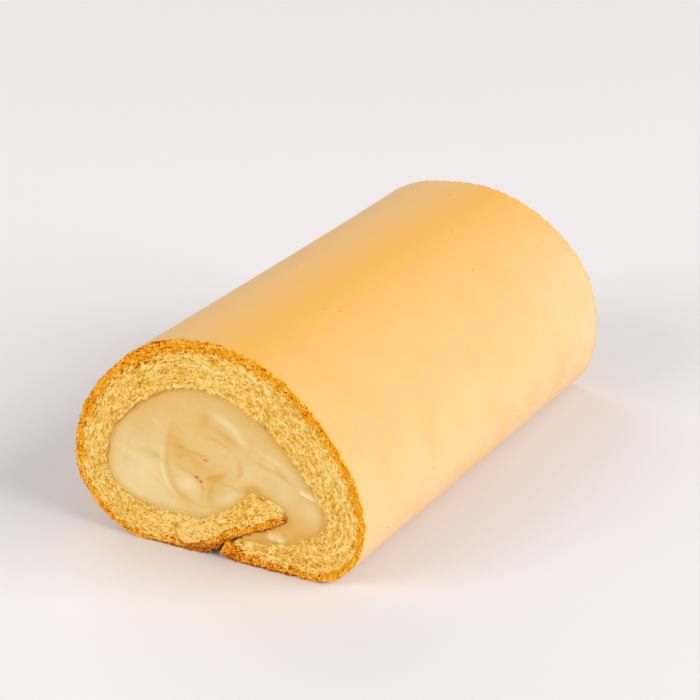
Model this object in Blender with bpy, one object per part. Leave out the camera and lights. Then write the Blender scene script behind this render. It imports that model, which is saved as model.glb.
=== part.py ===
"""Swiss roll cake: one sheet of sponge rolled once round a thick core of custard cream.

The roll lies on its seam along Y, with the shown cut facing -Y, and +Z is up. The origin is
the middle of its footprint, on the surface that it stands on. Both cuts go straight across.
"""

import math

import bmesh
import bpy
import numpy as np
from mathutils import Vector, noise
from mathutils.geometry import delaunay_2d_cdt

MM = 0.001  # the section below is drawn in millimetres

# Driving dimensions
ROLL_LENGTH = 159.0  # between the two cuts
CREAM_CLEARANCE = 0.35  # between the cream's solid and the sponge's
OUTLINE_STEP = 3.0  # length of a facet along the section
END_STEP = 2.0  # and round the tongue's end
SPONGE_CUT_STEP = 2.3  # spacing of the points on a cut through the sponge
CREAM_CUT_STEP = 1.9  # spacing of the points on a cut through the cream

# The sheet of sponge, from its inner end, the tongue that lies in the cream, round the roll to
# its outer end at the seam. Each row is x and z on its browned side, and its thickness there.
SHEET = np.array(
    [
        (21.7, 15.5, 7.3),  # the tongue's end
        (16.6, 12.3, 10.6),
        (4.7, 6.7, 7.8),
        (-6.6, 0.5, 10.1),  # where it was folded in
        (-23.8, -0.7, 11.6),
        (-38.8, 6.7, 10.1),
        (-46.1, 20.0, 10.6),
        (-40.9, 40.4, 10.7),
        (-21.3, 59.3, 12.8),
        (2.1, 63.4, 13.4),  # the crown
        (22.5, 56.2, 14.7),
        (39.2, 39.1, 14.6),
        (45.9, 23.0, 12.5),
        (44.7, 11.1, 12.6),
        (39.0, 3.4, 13.0),
        (31.7, 0.2, 12.4),
        (19.6, -1.0, 9.2),
        (5.2, 0.3, 6.3),
        (1.1, 2.3, 3.0),  # the outer end, against the tongue's underside
    ]
)
TONGUE_SLANT = 0.29  # the cream side of the tongue ends this many rows short of its browned side
TONGUE_NOSE = (24.0, 19.2)  # its end is rounded towards this point
WEDGE_ON_SHEET = 16.84  # the cream ends in a thin edge between the sheet at this row
WEDGE_ON_TONGUE = 1.72  # and the underside of the tongue at this one

# The far end has slumped out of the near end's shape. The section's radius, seen from its middle,
# changes by waves round the section: their number, their strength, and the first crest's angle.
SLUMP_MIDDLE_Z = 30.0
SLUMP_GROWTH = 3.85  # power of the distance along the roll
SLUMP_WAVES = ((2, 0.0143, -114.8), (3, 0.0135, 138.0), (4, 0.0376, 154.8), (5, 0.0272, 54.0))
SLUMP_SINK = 0.025
FLAT_FADE = 12.0  # height over which the slump fades out towards the flat underside
STATIONS = (0.0, 0.2, 0.4, 0.56, 0.69, 0.79, 0.87, 0.94, 1.0)  # rings of points along the roll

# Relief of the cuts
PIT_DEPTH = 0.9  # of the coarse pits in the sponge
PIT_SIZE = 3.4
CREAM_SINK = 0.5  # the cut cream stands this far behind the sponge
CREAM_EDGE = 3.0  # its relief fades out over this distance from its edge
# Folds and smears in the cut cream: points (x, z) along each, half its width, its height
CREAM_STROKES = (
    (((-15, 36), (-17, 28), (-15, 20), (-9, 14.5), (-3, 13.6), (4, 16), (8.5, 21)), 1.5, -0.7),
    (((-12, 24), (-9, 20), (-5, 18)), 2.4, 0.6),
    (((-3, 41), (2, 41.5), (7, 38.5)), 1.8, 0.6),
    (((12, 34), (19, 31.5), (25, 28)), 1.8, 0.4),
    (((-22, 28), (-18, 26)), 2.2, -0.4),
)
# Two torn flakes that stick up from it: the middle (x, z), half the length and width, the height
CREAM_FLAKES = ((29.6, 25.4, 2.6, 1.4, 1.4), (19.6, 9.9, 2.4, 1.5, 1.2))


def along(points, places):
    """A smooth line (Catmull-Rom) through points, at places counted in points from the first."""
    first, last = 2 * points[0] - points[1], 2 * points[-1] - points[-2]
    ends = np.vstack([first, points, last])
    i = np.clip(np.floor(places).astype(int), 0, len(points) - 2)
    t = (places - i)[:, None]
    a, b, c, d = ends[i], ends[i + 1], ends[i + 2], ends[i + 3]
    return 0.5 * (2 * b + (c - a) * t + (2 * a - 5 * b + 4 * c - d) * t**2 + (3 * b - a - 3 * c + d) * t**3)


def browned_side(start, end):
    """The sheet's browned side between two rows. The table presses it flat where it lies on it."""
    line = along(SHEET, np.linspace(start, end, 1500))[:, :2]
    return np.column_stack([line[:, 0], np.maximum(line[:, 1], 0.0)])


def cream_side(start, end):
    """The sheet's cream side between two rows: its thickness away, square to its browned side."""
    places = np.linspace(start, end, 1500)
    rows = along(SHEET, places)
    small = 0.001
    before = along(SHEET, np.maximum(places - small, 0))
    after = along(SHEET, np.minimum(places + small, len(SHEET) - 1))
    onward = (after - before)[:, :2]
    onward /= np.linalg.norm(onward, axis=1)[:, None]
    inwards = np.column_stack([onward[:, 1], -onward[:, 0]])
    return rows[:, :2] + inwards * rows[:, 2:]


def tongue_end():
    """The tongue's rounded end, from its browned corner to its cream corner (a Bezier curve)."""
    browned = browned_side(0, 1)[0]
    cream = cream_side(TONGUE_SLANT, 1)[0]
    t = np.linspace(0, 1, 200)[:, None]
    return browned * (1 - t) ** 2 + 2 * t * (1 - t) * np.array(TONGUE_NOSE) + cream * t**2


def evenly(line, step):
    """Points about one step apart along a line of many points, its two ends kept."""
    run = np.r_[0, np.cumsum(np.linalg.norm(np.diff(line, axis=0), axis=1))]
    wanted = np.linspace(0, run[-1], max(2, round(run[-1] / step) + 1))
    return np.column_stack([np.interp(wanted, run, line[:, k]) for k in (0, 1)])


def sheet_outline():
    """The section of the rolled sheet, as one closed loop."""
    last = len(SHEET) - 1
    browned = evenly(browned_side(0, last), OUTLINE_STEP)
    back = evenly(cream_side(last, TONGUE_SLANT), OUTLINE_STEP)
    end = evenly(tongue_end()[::-1], END_STEP)
    return np.vstack([browned, back, end[1:-1]])


def cream_outline():
    """The space that the rolled sheet holds, as one closed loop, drawn in by the clearance."""
    round_inside = evenly(cream_side(TONGUE_SLANT, WEDGE_ON_SHEET), OUTLINE_STEP)
    under_tongue = evenly(browned_side(WEDGE_ON_TONGUE, 0), OUTLINE_STEP)
    end = evenly(tongue_end(), END_STEP)
    return drawn_in(np.vstack([round_inside, under_tongue, end[1:-1]]), CREAM_CLEARANCE)


def drawn_in(loop, distance):
    """A closed loop moved inwards, each corner along the middle of its two edges' normals."""
    after = np.roll(loop, -1, axis=0)
    ahead = (after - loop) / np.linalg.norm(after - loop, axis=1)[:, None]
    area = 0.5 * np.sum(loop[:, 0] * after[:, 1] - after[:, 0] * loop[:, 1])
    normal = np.column_stack([-ahead[:, 1], ahead[:, 0]]) * math.copysign(1.0, area)
    both = normal + np.roll(normal, 1, axis=0)
    stretch = 2.0 / np.maximum(np.sum(both * both, axis=1), 0.7)
    return loop + both * (distance * stretch)[:, None]


def slumped(section, share):
    """A section at a share of the roll's length, with the slump that it has there."""
    x, z = section[:, 0], section[:, 1]
    weight = share**SLUMP_GROWTH
    angle = np.arctan2(z - SLUMP_MIDDLE_Z, x)
    waves = (strength * np.cos(k * angle - math.radians(crest)) for k, strength, crest in SLUMP_WAVES)
    growth = 1 + weight * sum(waves)
    new_z = (SLUMP_MIDDLE_Z + (z - SLUMP_MIDDLE_Z) * growth) * (1 - SLUMP_SINK * weight)
    fade = np.clip(z / FLAT_FADE, 0, 1)
    fade = fade * fade * (3 - 2 * fade)
    return np.column_stack([x * growth, z + (new_z - z) * fade])


def inside(points, loop):
    """Which points lie in a closed loop, by counting its crossings to their right."""
    x, z = points[:, :1], points[:, 1:]
    ax, az = loop[:, 0], loop[:, 1]
    bx, bz = np.roll(ax, -1), np.roll(az, -1)
    spans = (az > z) != (bz > z)
    rise = np.where(bz == az, 1.0, bz - az)
    crossing = ax + (z - az) * (bx - ax) / rise
    return np.sum(spans & (crossing > x), axis=1) % 2 == 1


def distance_to_line(points, line):
    """The distance of each point to the nearest place on an open line."""
    a, b = line[:-1], line[1:]
    span = b - a
    share = np.sum((points[:, None] - a) * span, axis=2) / np.sum(span * span, axis=1)
    near = a + np.clip(share, 0, 1)[..., None] * span
    return np.linalg.norm(points[:, None] - near, axis=2).min(axis=1)


def distance_to_loop(points, loop):
    """The distance of each point to the nearest place on a closed loop."""
    return distance_to_line(points, np.vstack([loop, loop[:1]]))


def field_points(loop, step):
    """Points on a triangular grid inside a loop, clear of the loop itself."""
    low, high = loop.min(axis=0), loop.max(axis=0)
    rows = np.arange(low[1], high[1], step * math.sin(math.radians(60)))
    columns = np.arange(low[0], high[0] + step, step)
    x, z = np.meshgrid(columns, rows)
    x = x + (np.arange(len(rows)) % 2)[:, None] * step / 2
    points = np.column_stack([x.ravel(), z.ravel()])
    points = points[inside(points, loop)]
    return points[distance_to_loop(points, loop) > 0.45 * step]


def crumb_depth(points, loop):
    """Depth of the torn crumb behind the cut: rounded pits of uneven size, none at the rim."""
    to_pit = np.array([noise.voronoi(Vector((x / PIT_SIZE, z / PIT_SIZE, 0)))[0][0] for x, z in points])
    fade = np.clip(distance_to_loop(points, loop) / SPONGE_CUT_STEP, 0, 1)
    return PIT_DEPTH * fade * np.clip(1.15 - 1.6 * to_pit, 0, 1)


def cream_depth(points, loop):
    """Depth of the cut cream behind the sponge, with its folds, smears and torn flakes."""
    height = np.zeros(len(points))
    for line, half_width, stroke_height in CREAM_STROKES:
        smooth = along(np.array(line, float), np.linspace(0, len(line) - 1, 30))
        height += stroke_height * np.exp(-((distance_to_line(points, smooth) / half_width) ** 2))
    for x, z, half_length, half_width, flake_height in CREAM_FLAKES:
        away = ((points[:, 0] - x) / half_length) ** 2 + ((points[:, 1] - z) / half_width) ** 2
        height += flake_height * np.exp(-away)
    fade = np.clip(distance_to_loop(points, loop) / CREAM_EDGE, 0, 1)
    return np.maximum(CREAM_SINK - fade * height, 0.0)


def cut_face(loop, step):
    """A loop's own points followed by those inside it, and the triangles that join them all."""
    points = np.vstack([loop, field_points(loop, step)])
    edges = [(k, (k + 1) % len(loop)) for k in range(len(loop))]
    made = delaunay_2d_cdt([Vector(p) for p in points], edges, [], 1, 1e-7)
    if len(made[0]) != len(points):
        raise ValueError("the cut's outline crosses itself")
    place = [original[0] for original in made[3]]
    return points, [tuple(place[k] for k in triangle) for triangle in made[2]]


def roll_mesh(name, loop, step, depth_of):
    """A loft of one loop along the roll, closed at both cuts by faces with relief in them."""
    face, triangles = cut_face(loop, step)
    depth = depth_of(face, loop)
    rings = [slumped(face if share in (0, 1) else loop, share) for share in STATIONS]
    y = [np.full(len(ring), (share - 0.5) * ROLL_LENGTH) for ring, share in zip(rings, STATIONS)]
    y[0] = y[0] + depth
    y[-1] = y[-1] - depth
    corners = np.vstack([np.column_stack([ring[:, 0], line, ring[:, 1]]) for ring, line in zip(rings, y)])

    starts = np.cumsum([0] + [len(ring) for ring in rings]).tolist()
    faces = list(triangles)
    faces += [tuple(k + starts[-2] for k in reversed(triangle)) for triangle in triangles]
    for near, far in zip(starts[:-2], starts[1:-1]):
        for k in range(len(loop)):
            after = (k + 1) % len(loop)
            faces.append((near + k, far + k, far + after))
            faces.append((near + k, far + after, near + after))

    mesh = bpy.data.meshes.new(name)
    mesh.from_pydata((corners * MM).tolist(), [], faces)
    shape = bmesh.new()
    shape.from_mesh(mesh)
    bmesh.ops.recalc_face_normals(shape, faces=shape.faces)
    shape.to_mesh(mesh)
    shape.free()
    mesh.shade_smooth()
    mesh.set_sharp_from_angle(angle=math.radians(50))
    return mesh


def material(name, colour, roughness):
    """A Principled surface of one colour."""
    made = bpy.data.materials.new(name)
    made.use_nodes = True
    shader = made.node_tree.nodes["Principled BSDF"]
    shader.inputs["Base Color"].default_value = (*colour, 1.0)
    shader.inputs["Roughness"].default_value = roughness
    shader.inputs["Metallic"].default_value = 0.0
    return made


def place(mesh, surface):
    """One object of the roll. The section is drawn a little off centre, which is put right."""
    made = bpy.data.objects.new(mesh.name, mesh)
    made.location.x = -MM * (loop_of_sheet[:, 0].min() + loop_of_sheet[:, 0].max()) / 2
    mesh.materials.append(surface)
    collection.objects.link(made)


for old in list(bpy.data.objects):
    bpy.data.objects.remove(old)
collection = bpy.data.collections.new("swiss_roll")
bpy.context.scene.collection.children.link(collection)

loop_of_sheet = sheet_outline()
loop_of_cream = cream_outline()
place(
    roll_mesh("sponge", loop_of_sheet, SPONGE_CUT_STEP, crumb_depth),
    material("sponge", (0.80, 0.50, 0.17), 0.85),
)
place(
    roll_mesh("cream", loop_of_cream, CREAM_CUT_STEP, cream_depth),
    material("custard_cream", (0.86, 0.70, 0.38), 0.45),
)
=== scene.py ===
"""A swiss roll cake: a sheet of browned sponge rolled once round a core of custard cream."""

import math

import bmesh
import bpy
import numpy as np
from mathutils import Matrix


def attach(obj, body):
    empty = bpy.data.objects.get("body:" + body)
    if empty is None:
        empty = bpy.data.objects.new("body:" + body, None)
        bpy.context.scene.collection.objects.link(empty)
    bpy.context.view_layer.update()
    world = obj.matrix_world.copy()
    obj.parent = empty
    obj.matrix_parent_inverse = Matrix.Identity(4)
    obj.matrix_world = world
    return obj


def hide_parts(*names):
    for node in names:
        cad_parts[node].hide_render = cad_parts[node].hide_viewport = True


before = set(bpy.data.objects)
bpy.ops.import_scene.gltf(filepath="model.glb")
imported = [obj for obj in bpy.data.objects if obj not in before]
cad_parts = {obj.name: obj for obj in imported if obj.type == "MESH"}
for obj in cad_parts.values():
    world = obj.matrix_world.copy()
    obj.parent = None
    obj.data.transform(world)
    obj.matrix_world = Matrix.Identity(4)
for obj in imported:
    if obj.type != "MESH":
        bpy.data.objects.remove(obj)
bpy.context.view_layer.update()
MM = 0.001

# The view: a long lens a little above the roll, at its right front corner, which looks down on the
# shown cut and along the browned skin. It stands 28.8 degrees round and looks 22.4 degrees down.
scene = bpy.context.scene
PHOTO_SIDE = 700
FOCAL_PIXELS = 2496.5
lens = bpy.data.cameras.new("camera")
lens.sensor_width = 36.0
lens.lens = lens.sensor_width * FOCAL_PIXELS / PHOTO_SIDE
camera = bpy.data.objects.new("camera", lens)
camera.location = (0.3286, -0.6018, 0.3158)
camera.rotation_euler = (math.radians(90 - 22.406), 0, math.radians(28.78))
scene.collection.objects.link(camera)
scene.camera = camera
scene.view_settings.view_transform = "Standard"


# The sheet of sponge. One sheet of egg sponge, baked flat and browned on its top, is rolled with
# that side out, once round the cream. Its inner end is folded up into the cream as a tongue, and
# its outer end comes back under the tongue at the seam. Both ends of the roll are cut straight.
ROLL_LENGTH = 159.0  # millimetres, as are all the sizes of the section
# x, z on the browned side and the thickness there, from the tongue's end to the outer end
SHEET = np.array(
    [
        (21.7, 15.5, 7.3),
        (16.6, 12.3, 10.6),
        (4.7, 6.7, 7.8),
        (-6.6, 0.5, 10.1),
        (-23.8, -0.7, 11.6),
        (-38.8, 6.7, 10.1),
        (-46.1, 20.0, 10.6),
        (-40.9, 40.4, 10.7),
        (-21.3, 59.3, 12.8),
        (2.1, 63.4, 13.4),
        (22.5, 56.2, 14.7),
        (39.2, 39.1, 14.6),
        (45.9, 23.0, 12.5),
        (44.7, 11.1, 12.6),
        (39.0, 3.4, 13.0),
        (31.7, 0.2, 12.4),
        (19.6, -1.0, 9.2),
        (5.2, 0.3, 6.6),
        (1.1, 2.3, 3.7),
    ]
)
LAST_ROW = len(SHEET) - 1.0
TONGUE_SLANT = 0.29
TONGUE_NOSE = np.array((24.0, 19.2))
SLUMP_MIDDLE_Z = 30.0
SLUMP_GROWTH = 3.85
SLUMP_WAVES = ((2, 0.0143, -114.8), (3, 0.0135, 138.0), (4, 0.0376, 154.8), (5, 0.0272, 54.0))
SLUMP_SINK = 0.025
FLAT_FADE = 12.0


def ease(low, high, value):
    """0 below low, 1 above high, and a cubic ease between them."""
    t = np.clip((value - low) / (high - low), 0, 1)
    return t * t * (3 - 2 * t)


def along(points, places):
    """Catmull-Rom: the cubic through each four points, at places counted in points."""
    ends = np.vstack([2 * points[0] - points[1], points, 2 * points[-1] - points[-2]])
    i = np.clip(np.floor(places).astype(int), 0, len(points) - 2)
    t = (places - i)[..., None]
    a, b, c, d = ends[i], ends[i + 1], ends[i + 2], ends[i + 3]
    return 0.5 * (2 * b + (c - a) * t + (2 * a - 5 * b + 4 * c - d) * t**2 + (3 * b - a - 3 * c + d) * t**3)


def browned_side(rows):
    """The sheet's browned side at places along it, pressed flat where it would pass the table."""
    line = along(SHEET, rows)[..., :2]
    return np.stack([line[..., 0], np.maximum(line[..., 1], 0)], axis=-1)


def cream_side(rows):
    """The sheet's cream side: its thickness away from the browned side, square to it."""
    here = along(SHEET, rows)
    onward = along(SHEET, np.minimum(rows + 1e-3, LAST_ROW)) - along(SHEET, np.maximum(rows - 1e-3, 0))
    onward = onward[..., :2] / np.linalg.norm(onward[..., :2], axis=-1, keepdims=True)
    inwards = np.stack([onward[..., 1], -onward[..., 0]], axis=-1)
    return here[..., :2] + inwards * here[..., 2:]


def thickness_at(rows):
    """How far the browned side and the cream side are apart."""
    return np.linalg.norm(cream_side(rows) - browned_side(rows), axis=-1)


def tongue_end(t):
    """The tongue's rounded end, a Bezier curve from its browned corner to its cream corner."""
    browned, cream = browned_side(np.array(0.0)), cream_side(np.array(TONGUE_SLANT))
    t = t[..., None]
    return browned * (1 - t) ** 2 + 2 * t * (1 - t) * TONGUE_NOSE + cream * t**2


def across_sheet(rows, v):
    """A point of the section: straight across from the browned side, v 0, to the cream side, v 1,
    and drawn over to the rounded end near the tongue's end."""
    share = v[..., None]
    straight = browned_side(rows) * (1 - share) + cream_side(rows) * share
    square_end = browned_side(0 * rows) * (1 - share) + cream_side(0 * rows) * share
    return straight + (tongue_end(v) - square_end) * (1 - ease(0, 1.1, rows))[..., None]


def slumped(section, share):
    """A section at a share of the roll's length: waves round it grow towards the far end."""
    x, z = section[..., 0], section[..., 1]
    weight = np.clip(share, 0, 1) ** SLUMP_GROWTH
    angle = np.arctan2(z - SLUMP_MIDDLE_Z, x)
    growth = 1 + weight * sum(s * np.cos(k * angle - math.radians(crest)) for k, s, crest in SLUMP_WAVES)
    new_z = (SLUMP_MIDDLE_Z + (z - SLUMP_MIDDLE_Z) * growth) * (1 - SLUMP_SINK * weight)
    return np.stack([x * growth, z + (new_z - z) * ease(0, FLAT_FADE, z)], axis=-1)


def in_roll(section, y):
    """Points of the roll in metres: a section, slumped for its place along the roll, and that place."""
    place = slumped(section, y / ROLL_LENGTH + 0.5)
    return np.stack([place[..., 0], y, np.maximum(place[..., 1], 0)], axis=-1) * MM


def evenly(line_of, start, end, count):
    """Parameters of a line at places that lie evenly by its length, and its length."""
    fine = np.linspace(start, end, 4000)
    run = np.r_[0, np.cumsum(np.linalg.norm(np.diff(line_of(fine), axis=0), axis=1))]
    return np.interp(np.linspace(0, run[-1], count), run, fine), run[-1]


def cell_random(i, j, salt):
    """A fixed random number from 0 to 1 for each cell of a grid: the fraction of a big sine."""
    n = np.sin(i * 127.1 + j * 311.7 + salt * 74.7) * 43758.5453
    return n - np.floor(n)


def bubbles(s, t, size, salt, rarity):
    """Depth of round bubbles cut open, one in each cell, at an uneven place. The depth is the root
    of the radius squared less the distance squared. A higher rarity leaves fewer large ones."""
    x, y = s / size, t / size
    deepest = np.zeros_like(x)
    for di in (-1, 0, 1):
        for dj in (-1, 0, 1):
            i, j = np.floor(x) + di, np.floor(y) + dj
            radius = 0.72 * cell_random(i, j, salt + 2) ** rarity
            away = (x - i - cell_random(i, j, salt)) ** 2 + (y - j - cell_random(i, j, salt + 1)) ** 2
            deepest = np.maximum(deepest, np.sqrt(np.maximum(radius**2 - away, 0)))
    return deepest * size


def waves(s, t, size, salt):
    """Smooth noise from -1 to 1: the random number at each corner of a cell, eased between them."""
    x, y = s / size, t / size
    i, j = np.floor(x), np.floor(y)
    fx, fy = ease(0, 1, x - i), ease(0, 1, y - j)
    low = cell_random(i, j, salt) * (1 - fx) + cell_random(i + 1, j, salt) * fx
    high = cell_random(i, j + 1, salt) * (1 - fx) + cell_random(i + 1, j + 1, salt) * fx
    return 2 * (low * (1 - fy) + high * fy) - 1


# The sheet's surface is one grid. Its columns run along the sheet, and its rows go round it: up the
# shown cut from the cream to the skin, along the skin, down the far cut and back inside.
SHEET_COLUMNS = 940
CUT_ROWS = 40
SKIN_ROWS = 20
INSIDE_ROWS = 4
CELL_STRETCH = 1.8
CLOSE_TO_CUT = np.array([0.3, 0.7, 1.4, 3.0, 6.0])  # where the skin's rows beside a cut lie
OPEN_SKIN = 12.0  # and where the wider ones start
RIM_OVER_SKIN = 1.3  # how far the cut's ragged rim reaches along the skin
NEAR_SALT, NEAR_RAGGED = 1, 1.0
FAR_SALT, FAR_RAGGED = 101, 0.3
# Values along the sheet, as (row of SHEET, value): how deep the browning goes into the cut
CRUST_DEPTH = (
    (0, 3.2), (1.5, 2.7), (2.2, 3.1), (3.3, 2.6), (4, 2.1), (5, 2.9), (6, 3.0), (7, 3.4), (7.6, 3.2),
    (8, 4.7), (9, 3.9), (11, 3.0), (12.5, 2.5), (14, 2.3), (15, 2.4), (16.4, 2.6), (17, 5.2), (17.5, 8),
)
# how dark it is there, from golden, less than 0, to scorched
CRUST_DARK = (
    (0, 0.75), (1.5, 0.8), (2.2, 0.85), (3.3, 1.25), (4, 0.5), (5, 0.15), (6, 0.1), (7.6, 0.1),
    (8, 0.35), (9, 0.1), (11, -0.2), (12.5, -0.3), (14, -0.2), (15, 0.55), (16.4, 1.0), (17, 0.5),
    (17.5, 0.2), (18, 0.1),
)
# how open the crumb is, with long cells and pale clumps
OPENNESS = (
    (0, 0.5), (2, 0.3), (4.5, 0.35), (5.5, 0.8), (8, 0.8), (9.5, 0.6), (11, 1.0), (14, 0.9),
    (15, 0.4), (18, 0.3),
)
# how far the crumb of a cut laps over the cream
LAP = ((6.9, 0), (7.2, 0.8), (8, 0.8), (8.6, 0.7), (9, 0.9), (9.3, 1.3), (9.7, 0.9), (10.2, 0.4), (10.8, 0))
# how much of the sides' paler tan the skin has: partly its own tone, partly a painted sheen where the
# skin is seen at a glancing angle; the far end's extra over its top is painted sheen
SIDE_TAN_AND_SHEEN = ((5, 0.45), (7.7, 0.6), (8.5, 0.35), (9.3, 0), (9.8, 0.25), (10.5, 0.45), (12.5, 0.83), (15, 1))
FAR_SHEEN = 0.25  # and how much more at the far end, over its top
# crumbs clot the seam, where the sheet's two ends meet: row, how many rows they reach, how far out
CLOTS = ((2.78, 0.3, 1.5), (17.5, 0.5, 0.7))
# places in the cut (x, z) where the rim is scorched, and how far each reaches
SCORCHES = (
    (28.0, 49.6, 2.0),
    (-17.5, 60.4, 1.6),
    (-29.0, 48.7, 1.6),
    (4.0, 1.6, 3.0),
    (-6.0, -0.5, 4.0),
    (22.5, 17.2, 1.8),
    (39.8, 30.7, 1.1),
    (38.4, 9.3, 1.0),
    (-37.4, 12.0, 1.3),
)
SCORCHED = 1.1
# broad places in the cut (x, z) where the crumb is browner, how far each reaches and how much
TOASTED = (
    (-24, 49, 5, 0.16),
    (-35, 38, 4, 0.12),
    (13, 48, 4, 0.16),
    (28, 44, 4, 0.1),
    (-12, 6, 7, -0.12),
    (34, 24, 4, 0.1),
)
# a pit's depth darkens the crumb's colour as painted shade; a browner place browns it
PIT_SHADE_WEIGHT = 0.3  # how much a pit, or a browner place, counts in the crumb's colour
columns, sheet_run = evenly(lambda u: across_sheet(u, 0 * u + 0.4), 0, LAST_ROW, SHEET_COLUMNS)
run = np.linspace(0, sheet_run, SHEET_COLUMNS)[None, :]
thickness = thickness_at(columns)[None, :]


def at_columns(table):
    """The value of each column, on straight lines between the table's (row of SHEET, value) pairs."""
    return np.interp(columns, *np.transpose(table))[None, :]


def spots(places, section):
    """The sum of round spots (x, z, reach, weight): each the weight times e to the minus squared
    distance over squared reach."""
    total = 0.0
    for x, z, reach, weight in places:
        total = total + weight * np.exp(-np.sum((section - (x, z)) ** 2, axis=-1) / reach**2)
    return total


def cut_of_sheet(salt, ragged):
    """One cut through the sheet, from the cream side to the browned side: the grid's v, how far
    each point stands behind the cut, how brown it is and how deep in a pit, which the crumb's
    colour takes as painted shade. A more ragged cut has more crumbs standing out over the skin."""
    v = np.linspace(1, 0, CUT_ROWS)[:, None] * (1 + at_columns(LAP) / thickness)
    deep = v * thickness
    near_skin = 1 - ease(0.8, 3.0, deep)
    wide = bubbles(run / 1.9, deep, 1.5, salt, 4.0) * (1 - near_skin)
    middling = bubbles(run / 2.0, deep, 0.8, salt + 5, 1.2)
    small = bubbles(run / 1.5, deep, 0.6, salt + 9, 0.7)
    grain = waves(run / 1.4, deep, 0.42, salt + 13)
    pit = np.maximum(0.7 * wide, 0.85 * middling) + 0.45 * small
    behind = 0.9 * pit * (1 - 0.4 * near_skin) + 0.16 * grain * (1 + near_skin) - 0.22
    # a lap stands out over the cream, so that its pits don't reach down to it
    behind = behind - 0.4 * ease(0, 0.5, deep - thickness)
    # the browned rim is crumbly: bits of it stand out of the cut and over the skin
    teeth = waves(run, 0 * deep, 1.3, salt + 17) + 0.8 * waves(run, 0 * deep, 0.6, salt + 19)
    clot = sum(size * np.exp(-(((columns - row) / reach) ** 2)) for row, reach, size in CLOTS)
    out = (0.2 * ragged * np.maximum(teeth, -0.5) + clot * (1 + 0.5 * teeth)) * (1 - ease(0, 1.2, deep))
    torn = waves(run, 0 * deep, 2.6, salt + 21) + 0.8 * waves(run, 0 * deep, 1.1, salt + 23)
    over = 0.33 * torn * ease(-1.5, 0, deep - thickness)
    patchy = waves(run, 0 * deep, 7.0, salt + 25) * 0.35 + waves(run, deep, 1.3, salt + 27) * 0.6
    reach = at_columns(CRUST_DEPTH) * (1 + 0.3 * patchy)
    browned = 1 - ease(0.6 * reach, 1.3 * reach, deep)
    return v + (over - out) / thickness, behind, browned, np.clip(pit / 0.6, 0, 1)


near_v, near_behind, near_browned, near_pit_shade = cut_of_sheet(NEAR_SALT, NEAR_RAGGED)
far_v, far_behind, far_browned, far_pit_shade = (part[::-1] for part in cut_of_sheet(FAR_SALT, FAR_RAGGED))
half = ROLL_LENGTH / 2
between = np.linspace(-half + OPEN_SKIN, half - OPEN_SKIN, SKIN_ROWS - 2 * len(CLOSE_TO_CUT))
skin_y = np.r_[-half + CLOSE_TO_CUT, between, (half - CLOSE_TO_CUT)[::-1]][:, None] + 0 * run
inside_y = np.linspace(half, -half, INSIDE_ROWS + 2)[1:-1][:, None] + 0 * run
rim_fade = 1 - ease(0, RIM_OVER_SKIN, half - np.abs(skin_y))
skin_v = np.where(skin_y < 0, near_v[-1], far_v[0]) * rim_fade
grid_v = np.vstack([near_v, skin_v, far_v, 1 + 0 * inside_y])
grid_y = np.vstack([-half + near_behind, skin_y, half - far_behind, inside_y])
sheet_section = across_sheet(columns[None, :] + 0 * grid_v, grid_v)
points = in_roll(sheet_section, grid_y)

# Quads join each row to the next, and the last to the first. The sheet's two ends are closed by
# quads from the near cut to the far one, and by one face for the skin's rows and one for those inside.
k = np.arange(grid_v.size).reshape(grid_v.shape)
k = np.vstack([k, k[:1]])
quads = np.stack([k[:-1, :-1], k[:-1, 1:], k[1:, 1:], k[1:, :-1]], axis=-1).reshape(-1, 4).tolist()
for column in (0, -1):
    ring = k[:-1, column].tolist()
    near, skin = ring[:CUT_ROWS], ring[CUT_ROWS : CUT_ROWS + SKIN_ROWS]
    far, inner = ring[CUT_ROWS + SKIN_ROWS :][:CUT_ROWS], ring[2 * CUT_ROWS + SKIN_ROWS :]
    far.reverse()
    quads += [[near[i], near[i + 1], far[i + 1], far[i]] for i in range(1, CUT_ROWS - 2)]
    quads.append([near[-2], near[-1], *skin, far[-1], far[-2]])
    quads.append([near[1], near[0], *inner[::-1], far[0], far[1]])

sponge_mesh = bpy.data.meshes.new("rolled_sponge")
sponge_mesh.from_pydata(points.reshape(-1, 3), [], quads)
deep = grid_v * thickness
# the rim is darkest in its outer millimetre
dark = at_columns(CRUST_DARK) * (2.2 - 1.2 * ease(0.1, 1.0, deep))
over_top = ease(9.8, 11, columns) * (1 - ease(11.5, 13, columns))
no_skin, no_inside = 0 * skin_y, 0 * inside_y
carried = {
    "cut": np.vstack([0 * near_v + 1, 0.5 * rim_fade, 0 * far_v + 1, no_inside + 1]),
    "browned": np.vstack([near_browned, no_skin + 1, far_browned, no_inside]),
    # painted shade by each pit's depth, together with the browner places
    "pit": np.vstack([near_pit_shade, no_skin, far_pit_shade, no_inside]) + spots(TOASTED, sheet_section) / PIT_SHADE_WEIGHT,
    "dark": dark + spots([(*scorch, SCORCHED) for scorch in SCORCHES], sheet_section),
    "open": at_columns(OPENNESS) + 0 * grid_v,
    # partly painted sheen: paler at a glancing angle, and over the far end's top
    "side": at_columns(SIDE_TAN_AND_SHEEN) + FAR_SHEEN * ease(20, 79, grid_y) * over_top,
}
for name, value in carried.items():
    values = sponge_mesh.attributes.new(name, "FLOAT", "POINT")
    values.data.foreach_set("value", value.astype(np.float32).ravel())
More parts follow.
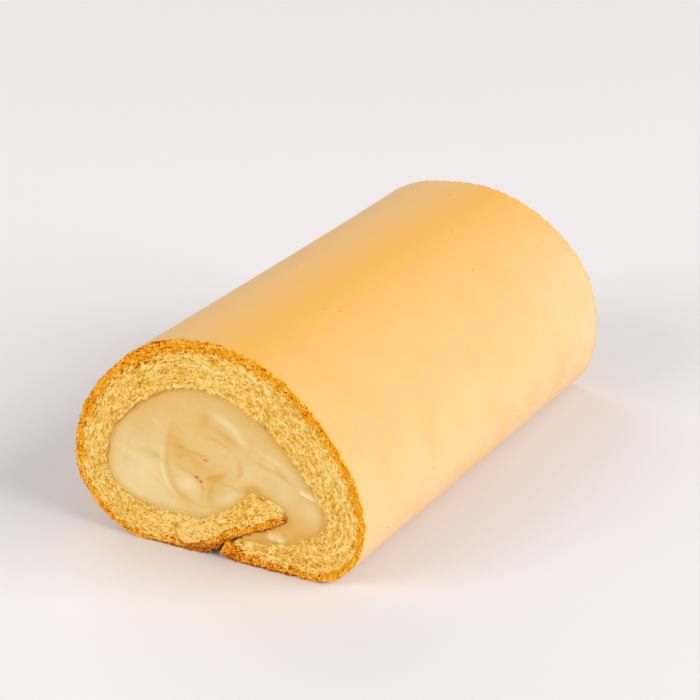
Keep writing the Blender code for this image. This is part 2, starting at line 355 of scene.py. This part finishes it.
# the crumb's own coordinates, in which its cells are round: they are stretched along the sheet
in_sheet = np.stack([(run + 0 * grid_v) / CELL_STRETCH, deep, grid_y / CELL_STRETCH], axis=-1) * MM
values = sponge_mesh.attributes.new("in_sheet", "FLOAT_VECTOR", "POINT")
values.data.foreach_set("vector", in_sheet.astype(np.float32).ravel())
shape = bmesh.new()
shape.from_mesh(sponge_mesh)
bmesh.ops.recalc_face_normals(shape, faces=shape.faces)
shape.to_mesh(sponge_mesh)
shape.free()
sponge_mesh.shade_smooth()
sponge = bpy.data.objects.new("rolled_sponge", sponge_mesh)
scene.collection.objects.link(sponge)


def shown(red, green, blue):
    """A colour as a screen shows it, from 0 to 255, turned into linear light."""
    c = np.array((red, green, blue)) / 255
    return (*np.where(c <= 0.04045, c / 12.92, ((c + 0.055) / 1.055) ** 2.4).tolist(), 1.0)


def node(tree, kind, inputs, **settings):
    """A shader node with its settings, and its inputs set to values or linked to other sockets."""
    made = tree.nodes.new("ShaderNode" + kind)
    for setting, value in settings.items():
        setattr(made, setting, value)
    for socket, value in inputs.items():
        if isinstance(value, bpy.types.NodeSocket):
            tree.links.new(value, made.inputs[socket])
        else:
            made.inputs[socket].default_value = value
    return made.outputs


def ramp(tree, value, low, high):
    """A value eased from 0 at low to 1 at high."""
    limits = {"Value": value, "From Min": low, "From Max": high}
    return node(tree, "MapRange", limits, interpolation_type="SMOOTHSTEP")["Result"]


def mix(tree, share, first, second):
    """A colour between two colours."""
    return node(tree, "Mix", {0: share, 6: first, 7: second}, data_type="RGBA")[2]


def grains(tree, place, across_mm, detail=3.0):
    """Noise from 0 to 1 with features about so many millimetres across."""
    scale = 1 / (across_mm * MM)
    return node(tree, "TexNoise", {"Vector": place, "Scale": scale, "Detail": detail})["Fac"]


def mark(tree, name, output="Fac"):
    """A value that the mesh carries at its points."""
    return node(tree, "Attribute", {}, attribute_name=name)[output]


def walls(tree, place, across_mm, thick, thin):
    """The net of walls between cells so many millimetres across: 1 on a wall, 0 in its cells."""
    cells = {"Vector": place, "Scale": 1 / (across_mm * MM)}
    return ramp(tree, node(tree, "TexVoronoi", cells, feature="DISTANCE_TO_EDGE")["Distance"], thick, thin)


def cell_middles(tree, place, across_mm):
    """How far a place is from the middle of its cell, in cells so many millimetres across."""
    return node(tree, "TexVoronoi", {"Vector": place, "Scale": 1 / (across_mm * MM)})["Distance"]


def weighted(tree, *terms):
    """The sum of values, each times its weight, as (value, weight) pairs."""
    total = 0.0
    for value, weight in terms:
        total = node(tree, "Math", {0: value, 1: weight, 2: total}, operation="MULTIPLY_ADD")["Value"]
    return total


def product(tree, first, second, **settings):
    """One value times another."""
    return node(tree, "Math", {0: first, 1: second}, operation="MULTIPLY", **settings)["Value"]


def vectors(tree, operation, inputs):
    """A vector made from others."""
    return node(tree, "VectorMath", inputs, operation=operation)["Vector"]


# The skin is matte, tan and finely grained, a little darker over the top than down the sides, with
# a pinhole here and there. Its paler sides are partly its own tone and partly a painted sheen where
# it is seen edge-on, and over the far end's top. The cut shows pale cell walls round darker pits,
# and round it a crumbly golden brown rim that is scorched in places.
SKIN_TOP = shown(227, 171, 80)
SKIN_SIDE_AND_SHEEN = shown(222, 190, 148)
SKIN_FAINT = shown(226, 168, 96)
PINHOLE = shown(176, 112, 50)
WALL = shown(253, 228, 156)
CRUMB = shown(248, 202, 98)
# the crumb's darkest colour, which the pits take as painted shade
SHADED_PIT = shown(220, 160, 34)
RIM_PALE = shown(254, 206, 84)
RIM = shown(238, 155, 2)
RIM_SCORCHED = shown(158, 46, 0)
WANDER = 0.7  # how far the cells' walls wander, in millimetres

paint = bpy.data.materials.new("sponge_cake")
paint.use_nodes = True
tree = paint.node_tree
place = node(tree, "TexCoord", {})["Object"]
crumbs = mark(tree, "in_sheet", "Vector")
wander = node(tree, "TexNoise", {"Vector": crumbs, "Scale": 1 / (WANDER * MM), "Detail": 2.0})["Color"]
wander = vectors(tree, "SUBTRACT", {0: wander, 1: (0.5, 0.5, 0.5)})
warped = vectors(tree, "ADD", {0: crumbs, 1: vectors(tree, "SCALE", {0: wander, "Scale": WANDER * MM})})
net, fine_net = walls(tree, warped, 0.95, 0.3, 0.02), walls(tree, warped, 0.5, 0.3, 0.04)
clumps, fine = grains(tree, crumbs, 1.5), grains(tree, crumbs, 0.36, 1.0)
slivers = grains(tree, vectors(tree, "MULTIPLY", {0: crumbs, 1: (0.5, 1, 1)}), 0.45, 1.0)
long_cells = grains(tree, vectors(tree, "MULTIPLY", {0: crumbs, 1: (0.36, 1, 1)}), 0.8, 1.0)
long_cells = weighted(tree, (ramp(tree, long_cells, 0.3, 0.7), 1.0), (0.5, -1.0))
opened = product(tree, long_cells, mark(tree, "open"))
lumps = product(tree, ramp(tree, cell_middles(tree, warped, 2.1), 0.32, 0.14), mark(tree, "open"))

# the crumb, from its pits over its cells to their walls; a pit's depth darkens it as painted shade
paleness = weighted(tree, (net, 0.35), (fine_net, 0.2), (clumps, 0.4), (fine, 1.0), (slivers, 0.8))
paleness = weighted(tree, (paleness, 1.0), (opened, 0.35), (lumps, 0.4), (0.05, 1.0))
paleness = weighted(tree, (paleness, 1.0), (mark(tree, "pit"), -PIT_SHADE_WEIGHT))
crumb = mix(tree, ramp(tree, paleness, 1.0, 1.48), SHADED_PIT, CRUMB)
crumb = mix(tree, ramp(tree, paleness, 1.42, 1.79), crumb, WALL)

# the rim: pale and golden crumbs, with scorched pores between them
grit = weighted(tree, (paleness, 0.6), (grains(tree, place, 0.4, 1.0), 1.5), (-0.18, 1.0))
rim = mix(tree, ramp(tree, grit, 1.44, 1.7), RIM, RIM_PALE)
scorch = weighted(tree, (mark(tree, "dark"), 1.0), (grains(tree, place, 1.3, 1.0), 4.0), (-1.6, 1.0))
pores = ramp(tree, grit, 1.37, 1.08)
scorched = product(tree, pores, scorch, use_clamp=True)
burnt = ramp(tree, mark(tree, "dark"), 0.9, 1.9)
rim = mix(tree, weighted(tree, (scorched, 1.0), (burnt, 0.6)), rim, RIM_SCORCHED)
toasted = weighted(tree, (mark(tree, "browned"), 1.0), (paleness, -0.8), (1.12, 1.0))
cut = mix(tree, ramp(tree, toasted, 0.25, 0.75), crumb, rim)

# the skin, whose paler side colour is partly a painted sheen
skin = mix(tree, mark(tree, "side"), SKIN_TOP, SKIN_SIDE_AND_SHEEN)
faint = ramp(tree, grains(tree, place, 14.0, 4.0), 0.4, 0.75)
skin = mix(tree, product(tree, faint, 0.35), skin, SKIN_FAINT)
skin = mix(tree, ramp(tree, cell_middles(tree, place, 7.0), 0.05, 0.02), skin, PINHOLE)

surface = tree.nodes["Principled BSDF"]
tree.links.new(mix(tree, mark(tree, "cut"), skin, cut), surface.inputs["Base Color"])
surface.inputs["Roughness"].default_value = 0.7
surface.inputs["Specular IOR Level"].default_value = 0.03
surface.inputs["Sheen Weight"].default_value = 0.1
surface.inputs["Sheen Roughness"].default_value = 0.4
surface.inputs["Subsurface Weight"].default_value = 0.1
surface.inputs["Subsurface Scale"].default_value = 0.002
crumbly = weighted(tree, (fine, 0.9), (slivers, 1.0), (net, 0.4), (fine_net, 0.2))
crumbly = weighted(tree, (crumbly, 1.0), (opened, 0.6), (lumps, 0.6))
height = product(tree, crumbly, weighted(tree, (mark(tree, "cut"), 0.93), (0.07, 1.0)))
bump = node(tree, "Bump", {"Height": height, "Distance": 0.0003, "Strength": 0.8})["Normal"]
tree.links.new(bump, surface.inputs["Normal"])
sponge_mesh.materials.append(paint)
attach(sponge, "root")
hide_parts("sponge")


# The core of custard cream. It was spread thick on the sheet and rolled up with it, so it fills the
# roll and the pocket under the tongue. The knife drew it into soft folds round its middle.
CREAM_MIDDLE = np.array((-4.5, 23.0))
INTO_SPONGE = 0.4
WEDGE_ON_SHEET = 16.84
WEDGE_ON_TONGUE = 1.72
NOSE_ROW = 0.12
FAN_END, POCKET_START = 10.6, 11.9
FAN_COLUMNS, POCKET_COLUMNS, RAY_POINTS = 330, 90, 56
CREAM_SINK = 0.25  # how far the cut cream stands behind the sponge's
WALL_RINGS = 8


def cream_outer(rows):
    """The cream's edge along the sheet's cream side, a little way into the sponge."""
    return across_sheet(rows, 1 - INTO_SPONGE / thickness_at(rows))


def cream_inner(t):
    """The cream's edge round the tongue: down its end, t 0 to 1, and along its underside, 1 to 2."""
    rows = NOSE_ROW + (WEDGE_ON_TONGUE - NOSE_ROW) * np.clip(t - 1, 0, 1)
    share = INTO_SPONGE / thickness_at(rows)
    return across_sheet(rows, share + (1 - 2 * share) * np.clip(1 - t, 0, 1))


# Rays run from the middle out to the edge. Over the tongue their start slides from the middle to
# the tongue, and then round it, so the rays sweep the pocket as well.
spread = np.linspace(0, 1, RAY_POINTS + 1) ** 1.25
corner = cream_outer(np.array(NOSE_ROW))
fan, _ = evenly(cream_outer, NOSE_ROW, FAN_END, FAN_COLUMNS)
slide = FAN_END + (POCKET_START - FAN_END) * spread[1:]
pocket, _ = evenly(cream_outer, POCKET_START, WEDGE_ON_SHEET, POCKET_COLUMNS)
round_tongue, _ = evenly(cream_inner, 0, 2, POCKET_COLUMNS)
starts = np.vstack(
    [
        np.repeat(CREAM_MIDDLE[None], FAN_COLUMNS, axis=0),
        CREAM_MIDDLE + spread[1:, None] * (corner - CREAM_MIDDLE),
        cream_inner(round_tongue[1:]),
    ]
)
ends = cream_outer(np.r_[fan, slide, pocket[1:]])
section = starts + spread[:, None, None] * (ends - starts)

# What shows in the cut cream: points (x, z) along each fold, half its width, its height, the height
# of the lip on its left beside a groove on its right, and how tan (more than 0) or pale it is. The
# tint is partly the fold's own streak of colour and partly painted: shade where it is a groove, a
# highlight where it is a ridge.
FOLDS = (
    (
        ((-13.9, 37), (-14.9, 34), (-15.9, 29), (-15.9, 24), (-14.6, 19), (-12, 15.8), (-8.9, 13.8)),
        0.8, -0.1, -0.18, 0.3,
    ),
    (((-10.5, 14.6), (-5.5, 13.2), (-1, 13.8), (4, 16.4), (7.4, 19.6), (9.4, 24.5)), 0.8, -0.1, -0.2, 0.25),
    (((-17.4, 29), (-17.3, 24), (-15.9, 19), (-13.8, 16)), 0.7, 0.15, 0, -0.3),
    (((-12.6, 24.6), (-9.5, 24), (-6.8, 22.7), (-5, 20.8), (-4.3, 18.4)), 0.7, -0.05, 0.1, 0.35),
    (((-14.2, 30.8), (-11.5, 31), (-8.5, 30.3), (-5, 29.6), (-1.5, 29.3)), 0.7, -0.1, 0.12, 0.3),
    (((-12.8, 26.6), (-9.6, 28.4), (-6.6, 27.3)), 0.8, 0, -0.2, 0.25),
    (((-3.4, 22.0), (-0.2, 23.2), (2.4, 25.4)), 0.9, -0.2, -0.2, 0.6),
    (((-1.4, 21), (-2.3, 18), (-2.0, 15)), 1.0, -0.1, 0.1, 0.3),
    (((6.6, 24.6), (7.4, 27.4), (6.9, 30.5)), 0.7, -0.2, 0.15, 0.5),
    (((-1.4, 38.4), (2, 36.8), (5, 35.2), (7.4, 33.8)), 1.1, -0.12, -0.12, 0.4),
    (((-3, 36), (1, 35), (5, 33)), 0.7, 0, 0.2, 0.25),
    # a painted highlight: the pale streak along this ridge near the top
    (((-1.0, 42.8), (1.4, 41.7), (4.3, 40.6), (6.6, 38.8), (7.6, 36.8)), 1.6, 0.2, 0.05, -0.45),
    (((7.4, 36.6), (10.5, 35.8)), 0.8, 0.1, 0, -0.2),
    (((10, 32.2), (14, 31), (18, 30.1), (22, 29)), 0.9, -0.1, 0.15, 0.2),
    (((11, 34.6), (15, 33.6), (20, 32), (25.4, 29.6)), 1.0, 0.1, 0.05, -0.15),
    (((18.8, 31), (20.3, 29), (22.5, 27.6), (26.2, 26.4)), 0.5, -0.1, -0.2, 0.35),
    (((-24, 27.6), (-20.5, 27), (-17.2, 25.8)), 1.4, -0.1, 0.1, 0.35),
    (((-21, 37.8), (-17.2, 35.4)), 0.8, 0.1, 0, -0.25),
)
# flakes of cream torn up from the cut: points (x, z) along each, half its width and its height
FLAKES = (
    (((27.2, 25.7), (29.4, 25.2), (32.2, 24.1)), 0.75, 0.7),
    (((17.0, 10.2), (19.0, 10.3), (20.4, 9.8)), 1.25, 0.9),
    (((20.4, 9.8), (21.6, 9.0)), 0.8, 0.8),
)
# broad tints: the middle (x, z), how far they reach along x and z, and how tan or pale they are
TINTS = (
    (-12.4, 31.5, 2.6, 5.5, 0.3),
    (-1, 22, 4.5, 5.0, 0.3),
    (-6, 25.5, 4.5, 2.5, 0.25),
    (-8, 29, 6, 3.5, 0.25),
    (-11, 16.5, 2.2, 2.0, 0.3),
    (-9, 20, 3.4, 2.6, -0.35),
    (4.2, 18, 2.4, 2.2, -0.35),
    (-3.4, 40.4, 1.6, 2.2, 0.3),
    (11.6, 22.4, 2.4, 1.8, 1.1),
    (13, 9.5, 6, 3.0, 0.45),
    (25, 14, 6, 8, 0.42),
    (21, 20.5, 3.5, 4.5, -0.3),
    (29, 20.5, 3.0, 3.5, -0.2),
    (8, 15.5, 2.2, 2.2, -0.3),
    (-24, 19, 8, 9, -0.25),
    (-13.5, 29, 3, 7, 0.14),
    (-6, 35.5, 4.5, 3, 0.14),
    (-3, 19.5, 4.5, 3, 0.12),
)
SPECKS = (
    (-3.4, 28.4, 1.1, 0.45, 0.8),
    (-6.3, 22.8, 0.9, 0.7, 0.8),
    (-5.0, 21.7, 0.6, 0.45, 1.0),
    (-4.4, 19.4, 0.6, 0.35, 0.5),
)


def beside(places, line):
    """How far each place is from an open line, which side it lies on (1 left, -1 right) and the
    share of the line's steps before the point that is nearest to it."""
    a, b = line[:-1], line[1:]
    to_place = places[..., None, :] - a
    share = np.clip((to_place * (b - a)).sum(-1) / ((b - a) ** 2).sum(-1), 0, 1)
    away = np.linalg.norm(to_place - share[..., None] * (b - a), axis=-1)
    i = away.argmin(axis=-1)[..., None]
    turn = (b - a)[:, 0] * to_place[..., 1] - (b - a)[:, 1] * to_place[..., 0]
    step = i[..., 0] + np.take_along_axis(share, i, -1)[..., 0]
    side = np.sign(np.take_along_axis(turn, i, -1)[..., 0])
    return np.take_along_axis(away, i, -1)[..., 0], side, step / len(a)


x, z = section[..., 0], section[..., 1]
edge_rows, round_end = np.linspace(NOSE_ROW, WEDGE_ON_SHEET, 240), np.linspace(2, 0, 60)
from_edge = beside(section, np.vstack([cream_outer(edge_rows), cream_inner(round_end)]))[0] - INTO_SPONGE
relief = 0.3 * waves(x, z, 9.0, 31) + 0.1 * waves(x, 1.6 * z, 3.0, 33)
streaks = waves(0.2 * (x - 0.4 * z), z + 0.4 * x, 1.1, 35) + waves(0.2 * (z + 0.5 * x), x - 0.5 * z, 1.6, 37)
tan = 0.07 * streaks + 0.4 * ease(26, 47, z)
# tan along the sponge's edge: partly cream soaked into it, partly painted shade from the sponge's edge,
# widest towards the top and right
edge_tan_and_shade_width = 0.5 + 1.1 * np.maximum(ease(15, 45, z), ease(5, 20, x))
tan += 1.15 * np.exp(-np.maximum(from_edge, 0) / edge_tan_and_shade_width)
tan += 0.35 * np.exp(-(((from_edge - 1.2 - 0.3 * waves(x, z, 6.0, 39)) / 0.3) ** 2)) * ease(8, -4, x)
for line, half_width, rise, lip, tint in FOLDS:
    line = np.array(line, float)
    away, side, step = beside(section, along(line, np.linspace(0, len(line) - 1, 5 * len(line))))
    bell = np.exp(-((away / half_width) ** 2)) * np.sin(np.pi * np.clip(step, 0.04, 0.96)) ** 0.5
    raised = 2 * lip * side * away / half_width * bell
    relief += rise * bell + raised
    # painted highlight and shade: a fold's lip side is painted paler and its groove side tanner
    tan += 1.4 * tint * bell - 0.8 * raised
for line, half_width, rise in FLAKES:
    away = beside(section, np.array(line, float))[0] * (1 + 0.3 * waves(x, z, 1.1, 41))
    flat_top = np.exp(-((away / half_width) ** 4))
    relief += rise * flat_top * (1 + 0.35 * waves(x, z, 0.8, 43))
    tan -= 0.9 * flat_top
for mid_x, mid_z, reach_x, reach_z, tint in TINTS:
    tan += 1.4 * tint * np.exp(-(((x - mid_x) / reach_x) ** 2) - ((z - mid_z) / reach_z) ** 2)
speck = 0 * x
for mid_x, mid_z, reach_x, reach_z, strength in SPECKS:
    speck += strength * np.exp(-(((x - mid_x) / reach_x) ** 2) - ((z - mid_z) / reach_z) ** 2)
relief *= ease(0, 2.5, from_edge)
cream_behind = CREAM_SINK - relief

near_points = in_roll(section, -half + cream_behind)
far_points = in_roll(section, half - cream_behind)

# The solid is both cuts, and a wall along the edge of their grids from one to the other.
ray_count, column_count = section.shape[:2]
count = ray_count * column_count
k = np.arange(count).reshape(ray_count, column_count)
face = np.stack([k[:-1, :-1], k[:-1, 1:], k[1:, 1:], k[1:, :-1]], axis=-1).reshape(-1, 4)
first_pocket = FAN_COLUMNS + RAY_POINTS - 1
edge = np.r_[k[-1, :], k[-2::-1, -1], k[0, -2:first_pocket:-1]]
wall_y = np.linspace(-half, half, WALL_RINGS + 2)[1:-1]
edge_places = section.reshape(-1, 2)[edge]
wall = in_roll(edge_places[None] + 0 * wall_y[:, None, None], wall_y[:, None] + 0 * edge)
wall_k = 2 * count + np.arange(WALL_RINGS * len(edge)).reshape(WALL_RINGS, -1)
rings = np.vstack([edge, wall_k, count + edge])
after = np.roll(rings, -1, axis=1)
around = np.stack([rings[:-1], after[:-1], after[1:], rings[1:]], axis=-1).reshape(-1, 4)
cream_mesh = bpy.data.meshes.new("custard_core")
cream_mesh.from_pydata(
    np.vstack([near_points.reshape(-1, 3), far_points.reshape(-1, 3), wall.reshape(-1, 3)]),
    [],
    np.vstack([face, face[:, ::-1] + count, around]).tolist(),
)
plain = np.zeros(wall.size // 3)
for name, value in (("tan", tan), ("speck", speck)):
    values = cream_mesh.attributes.new(name, "FLOAT", "POINT")
    values.data.foreach_set("value", np.r_[value.ravel(), value.ravel(), plain].astype(np.float32))
shape = bmesh.new()
shape.from_mesh(cream_mesh)
bmesh.ops.remove_doubles(shape, verts=shape.verts, dist=2e-7)
bmesh.ops.recalc_face_normals(shape, faces=shape.faces)
shape.to_mesh(cream_mesh)
shape.free()
cream_mesh.shade_smooth()
cream = bpy.data.objects.new("custard_core", cream_mesh)
scene.collection.objects.link(cream)

# Custard is smooth and a little clear, so light goes some way into it. It is tan where it soaks the
# sponge, with painted shade along the sponge's edge and in the folds' grooves, tanner towards the
# top, painted paler as a highlight on the folds' ridges, and nearly white where a skin of it was
# torn up.
CUSTARD = shown(229, 201, 134)
CUSTARD_TAN_AND_SHADE = shown(220, 169, 72)
CUSTARD_PALE_AND_HIGHLIGHT = shown(250, 232, 190)
SPECK = shown(182, 98, 6)
paint = bpy.data.materials.new("custard_cream")
paint.use_nodes = True
tree = paint.node_tree
place = node(tree, "TexCoord", {})["Object"]
broad, fine = grains(tree, place, 8.0), grains(tree, place, 0.8)
tint = mark(tree, "tan")
colour = mix(tree, ramp(tree, broad, 0.3, 0.8), CUSTARD, mix(tree, 0.25, CUSTARD, CUSTARD_TAN_AND_SHADE))
colour = mix(tree, product(tree, tint, 1.0, use_clamp=True), colour, CUSTARD_TAN_AND_SHADE)
colour = mix(tree, product(tree, tint, -1.0, use_clamp=True), colour, CUSTARD_PALE_AND_HIGHLIGHT)
colour = mix(tree, ramp(tree, mark(tree, "speck"), 0.1, 0.95), colour, SPECK)
surface = tree.nodes["Principled BSDF"]
tree.links.new(colour, surface.inputs["Base Color"])
surface.inputs["Roughness"].default_value = 0.42
surface.inputs["Subsurface Weight"].default_value = 0.35
surface.inputs["Subsurface Scale"].default_value = 0.004
bump = node(tree, "Bump", {"Height": fine, "Distance": 0.0001, "Strength": 0.3})["Normal"]
tree.links.new(bump, surface.inputs["Normal"])
cream_mesh.materials.append(paint)
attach(cream, "root")
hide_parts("cream")


# The table: a pale, plain board of a studio, slightly warm where it is lit.
FLOOR_SIDE = 14.0
floor_mesh = bpy.data.meshes.new("floor")
corner_xy = FLOOR_SIDE / 2 * np.array([(-1, -1, 0), (1, -1, 0), (1, 1, 0), (-1, 1, 0)])
floor_mesh.from_pydata(corner_xy, [], [(0, 1, 2, 3)])
floor = bpy.data.objects.new("floor", floor_mesh)
scene.collection.objects.link(floor)
paint = bpy.data.materials.new("studio_floor")
paint.use_nodes = True
surface = paint.node_tree.nodes["Principled BSDF"]
surface.inputs["Base Color"].default_value = shown(228, 224, 226)
surface.inputs["Roughness"].default_value = 0.8
floor_mesh.materials.append(paint)

# The light: a wide soft box low at the right, weaker ones at the left in front and behind, and a
# pale room all round.
AIM = np.array((0, 0, 0.03))
LAMP_AWAY = 3.2
LAMP_TALL = 2.0
LAMP_UP = math.radians(28)
# each lamp's name, azimuth, width, power and colour
LAMPS = (
    ("key", 95, 3.0, 114.0, (1.0, 0.98, 0.95)),
    ("front", 330, 2.0, 54.0, (1.0, 0.975, 0.935)),
    ("back", 232, 2.0, 24.0, (1.0, 0.985, 0.98)),
)
for name, azimuth, wide, power, colour in LAMPS:
    box = bpy.data.lights.new(name, "AREA")
    box.shape = "RECTANGLE"
    box.size = wide
    box.size_y = LAMP_TALL
    box.energy = power
    box.color = colour
    lamp = bpy.data.objects.new(name, box)
    round_it = math.radians(azimuth)
    flat = np.array((math.sin(round_it), -math.cos(round_it), 0)) * math.cos(LAMP_UP)
    lamp.location = AIM + LAMP_AWAY * (flat + (0, 0, math.sin(LAMP_UP)))
    lamp.rotation_euler = (math.pi / 2 - LAMP_UP, 0, round_it)
    scene.collection.objects.link(lamp)
scene.world = bpy.data.worlds.new("room")
scene.world.use_nodes = True
room = scene.world.node_tree.nodes["Background"]
room.inputs["Color"].default_value = (0.99, 0.985, 1.0, 1.0)
room.inputs["Strength"].default_value = 0.4
